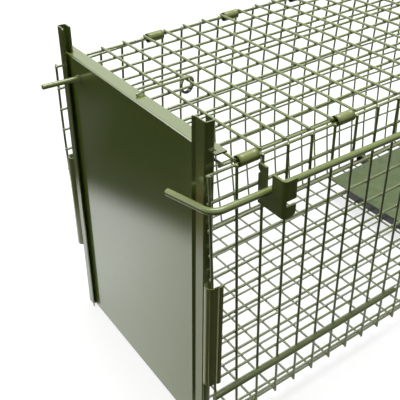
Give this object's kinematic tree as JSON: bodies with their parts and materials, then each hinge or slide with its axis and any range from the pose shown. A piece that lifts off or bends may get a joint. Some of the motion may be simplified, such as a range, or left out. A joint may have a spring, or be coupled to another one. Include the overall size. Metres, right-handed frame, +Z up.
{
  "type": "live animal trap",
  "caption": "Long welded-mesh live trap, open through from end to end, with a sliding sheet door in channel guides at each end, side lock rods, door hooks and a floor treadle.",
  "frame": {"origin": "middle of the trap's plan on the ground that its door guides stand on", "axes": "+Z up, +Y from the pictured door to the far door, +X towards the side with the near lock rod"},
  "size_m": [0.3208, 1.0144, 0.3478],
  "materials": {
    "olive_sheet": "glossy dark olive paint on sheet steel",
    "olive_wire": "satin dark olive paint on welded wire",
    "olive_fittings": "satin olive paint on bent sheet steel",
    "olive_rod": "satin olive paint on round steel bar",
    "olive_treadle": "satin olive paint on sheet steel"
  },
  "bodies": {
    "cage": {"front_guide_right": "olive_sheet", "front_guide_left": "olive_sheet", "rear_guide_right": "olive_sheet", "rear_guide_left": "olive_sheet", "front_hook_strip_right": "olive_sheet", "front_hook_strip_left": "olive_sheet", "rear_hook_strip_right": "olive_sheet", "rear_hook_strip_left": "olive_sheet", "side_mesh_right": "olive_wire", "side_mesh_left": "olive_wire", "roof_mesh": "olive_wire", "floor_mesh": "olive_wire", "roof_clips_right": "olive_fittings", "roof_clips_left": "olive_fittings", "lock_bracket_right": "olive_fittings", "lock_bracket_left": "olive_fittings", "lock_pivot_plate_right": "olive_fittings", "lock_pivot_plate_left": "olive_fittings", "treadle_bracket_right": "olive_fittings", "treadle_bracket_left": "olive_fittings", "lower_rod_right": "olive_rod", "lower_rod_left": "olive_rod", "treadle_pivot_rod": "olive_rod"},
    "front_door": {"front_door": "olive_sheet", "front_door_pin": "olive_rod"},
    "rear_door": {"rear_door": "olive_sheet", "rear_door_pin": "olive_rod"},
    "front_hook": {"front_door_hook": "olive_rod"},
    "rear_hook": {"rear_door_hook": "olive_rod"},
    "right_rod": {"lock_rod_right": "olive_rod"},
    "left_rod": {"lock_rod_left": "olive_rod"},
    "treadle": {"treadle": "olive_treadle"}
  },
  "joints": [
    {"name": "front_door_slide", "type": "slide", "parent": "cage", "child": "front_door", "axis": [0, 0.0436, 0.999], "range_m": [0, 0.265]},
    {"name": "rear_door_slide", "type": "slide", "parent": "cage", "child": "rear_door", "axis": [0, -0.0436, 0.999], "range_m": [0, 0.265]},
    {"name": "front_hook_swing", "type": "hinge", "parent": "cage", "child": "front_hook", "pos_m": [-0.007, -0.4, 0.31229], "axis": [-1, 0, 0], "range_deg": [0, 110]},
    {"name": "rear_hook_swing", "type": "hinge", "parent": "cage", "child": "rear_hook", "pos_m": [0.007, 0.4, 0.31229], "axis": [1, 0, 0], "range_deg": [0, 110]},
    {"name": "right_rod_swing", "type": "hinge", "parent": "cage", "child": "right_rod", "pos_m": [0.1424, -0.2375, 0.27947], "axis": [-1, 0, 0], "range_deg": [0, 60]},
    {"name": "left_rod_swing", "type": "hinge", "parent": "cage", "child": "left_rod", "pos_m": [-0.1424, 0.2375, 0.27947], "axis": [1, 0, 0], "range_deg": [0, 60]},
    {"name": "treadle_tip", "type": "hinge", "parent": "cage", "child": "treadle", "pos_m": [0, -0.009, 0.028], "axis": [-1, 0, 0], "range_deg": [0, 2.8]}
  ]
}
